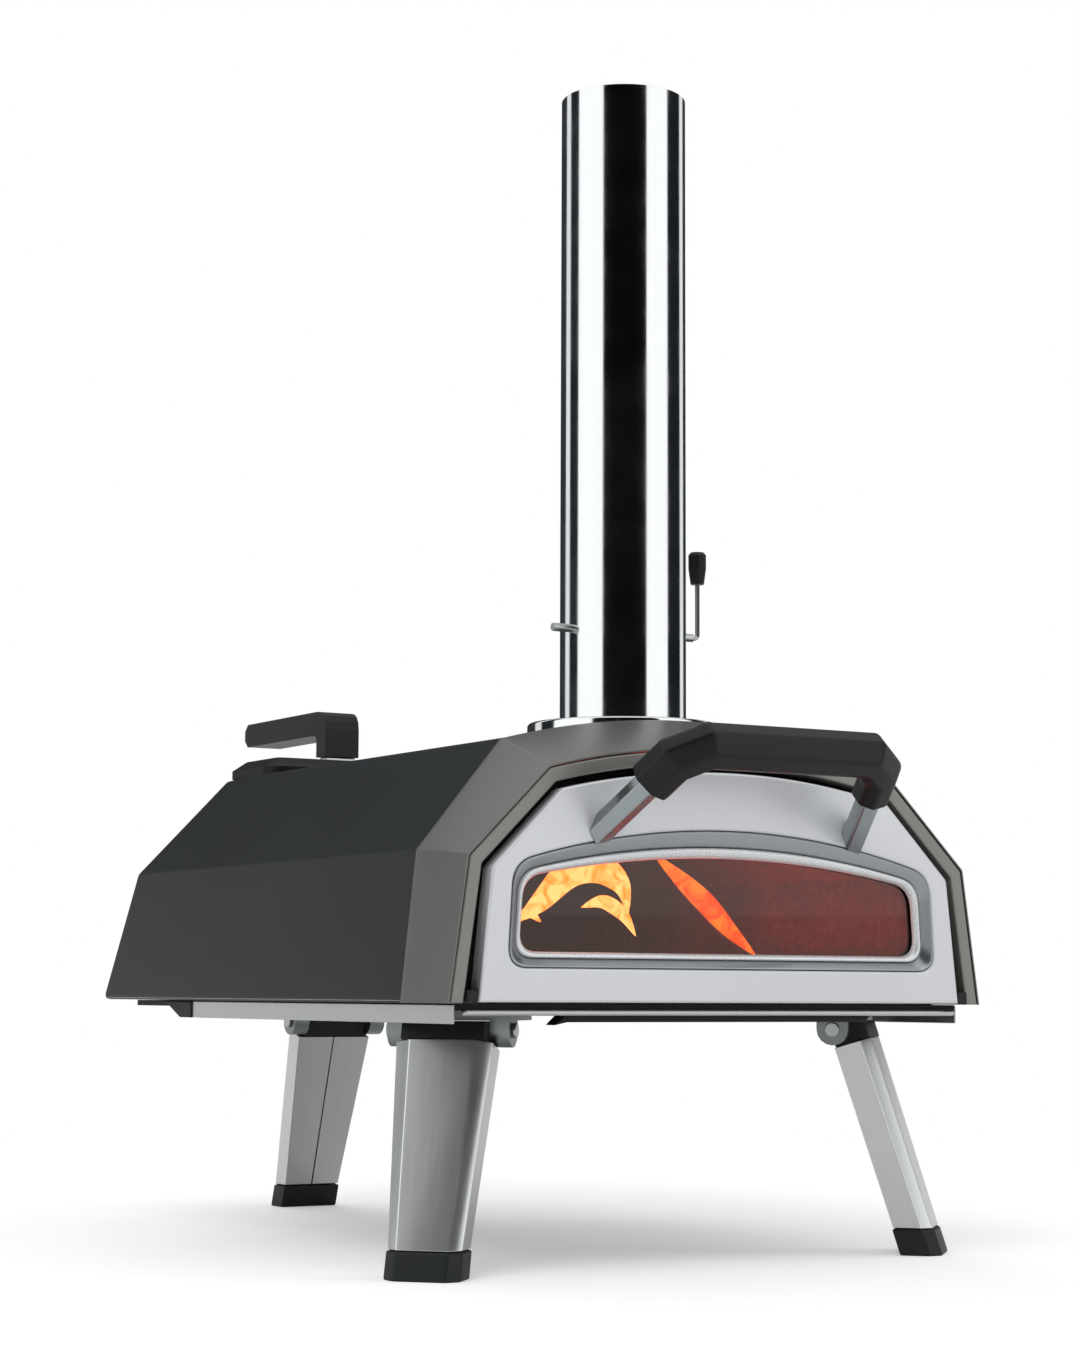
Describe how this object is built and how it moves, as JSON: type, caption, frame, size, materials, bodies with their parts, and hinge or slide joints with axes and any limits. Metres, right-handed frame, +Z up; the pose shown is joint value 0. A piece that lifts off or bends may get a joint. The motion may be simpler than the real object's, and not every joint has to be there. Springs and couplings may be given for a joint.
{
  "type": "portable pizza oven",
  "caption": "Portable outdoor pizza oven with an arched steel body, a drop-down glazed door, folding legs, a rear fuel hopper and a tall chimney with a damper.",
  "frame": {"origin": "under the middle of the whole object, on the surface that its feet stand on", "axes": "+Z up, -Y towards the door, +X to the right as seen from the door"},
  "size_m": [0.421, 0.7738, 0.7781],
  "materials": {
    "shell_charcoal": "satin powder coat",
    "hood_grey": "satin metallic coat",
    "rim_grey": "satin",
    "door_silver": "satin",
    "bezel_grey": "satin",
    "stainless": "satin",
    "polished_steel": "polished",
    "liner_steel": "heat-darkened",
    "black_steel": "matte",
    "black_plastic": "matte",
    "gasket": "matte",
    "wool": "matte",
    "stone": "fired cordierite, matte",
    "cast_grate": "matte",
    "amber_glass": "clear, amber-lit"
  },
  "bodies": {
    "oven": {"outer_shell": "shell_charcoal", "front_hood": "hood_grey", "front_rim": "rim_grey", "door_frame": "black_steel", "door_gasket": "gasket", "inner_liner": "liner_steel", "insulation_blanket": "wool", "rear_panel": "black_steel", "base_pan": "black_steel", "left_base_rail": "stainless", "right_base_rail": "stainless", "left_rail_cap": "black_plastic", "right_rail_cap": "black_plastic", "base_lip": "stainless", "front_stiffener": "black_plastic", "floor_insulation": "wool", "stone_support": "liner_steel", "baking_stone": "stone", "hopper_walls": "black_steel", "hopper_floor": "black_steel", "hopper_top": "black_steel", "hatch_hinge_pin": "stainless", "chimney_collar": "polished_steel", "flue_spigot": "stainless", "left_door_hinge": "stainless", "right_door_hinge": "stainless", "front_left_leg_bracket": "stainless", "front_right_leg_bracket": "stainless", "rear_leg_bracket": "stainless", "front_left_leg_bolt": "stainless", "front_right_leg_bolt": "stainless", "rear_leg_bolt": "stainless"},
    "door": {"door_panel": "door_silver", "door_inner_skin": "liner_steel", "window_bezel": "bezel_grey", "door_glass": "amber_glass", "left_handle_post": "stainless", "right_handle_post": "stainless", "door_handle_grip": "black_plastic"},
    "hatch": {"hatch_lid": "stainless", "hatch_ferrule": "stainless", "hatch_handle": "black_plastic"},
    "tray": {"fuel_tray": "stainless", "fuel_grate": "cast_grate", "tray_end": "stainless"},
    "chimney": {"chimney_tube": "polished_steel"},
    "damper": {"damper_axle": "stainless", "damper_disc": "stainless", "damper_wire": "stainless", "damper_knob": "black_plastic"},
    "front_left_leg_body": {"front_left_leg": "stainless", "front_left_leg_block": "black_plastic", "front_left_foot": "black_plastic"},
    "front_right_leg_body": {"front_right_leg": "stainless", "front_right_leg_block": "black_plastic", "front_right_foot": "black_plastic"},
    "rear_leg_body": {"rear_leg": "stainless", "rear_leg_block": "black_plastic", "rear_foot": "black_plastic"}
  },
  "joints": [
    {"name": "door_hinge", "type": "hinge", "parent": "oven", "child": "door", "pos_m": [0, -0.3061, 0.1683], "axis": [1, 0, 0], "range_deg": [0, 90]},
    {"name": "hatch_hinge", "type": "hinge", "parent": "oven", "child": "hatch", "pos_m": [0, 0.188, 0.34216], "axis": [1, 0, 0], "range_deg": [0, 80]},
    {"name": "fuel_tray_slide", "type": "slide", "parent": "oven", "child": "tray", "axis": [0, 1, 0], "range_m": [0, 0.12]},
    {"name": "chimney_lift", "type": "slide", "parent": "oven", "child": "chimney", "axis": [0, 0, 1], "range_m": [0, 0.04]},
    {"name": "damper_turn", "type": "hinge", "parent": "chimney", "child": "damper", "pos_m": [0, -0.1853, 0.4115], "axis": [1, 0, 0], "range_deg": [0, 90]},
    {"name": "front_left_leg_fold", "type": "hinge", "parent": "oven", "child": "front_left_leg_body", "pos_m": [-0.15, -0.2241, 0.1475], "axis": [0.7071, -0.7071, 0], "range_deg": [0, 107]},
    {"name": "front_right_leg_fold", "type": "hinge", "parent": "oven", "child": "front_right_leg_body", "pos_m": [0.15, -0.2241, 0.1475], "axis": [0.7071, 0.7071, 0], "range_deg": [0, 107]},
    {"name": "rear_leg_fold", "type": "hinge", "parent": "oven", "child": "rear_leg_body", "pos_m": [0, 0.2409, 0.1475], "axis": [-1, 0, 0], "range_deg": [0, 107]}
  ]
}
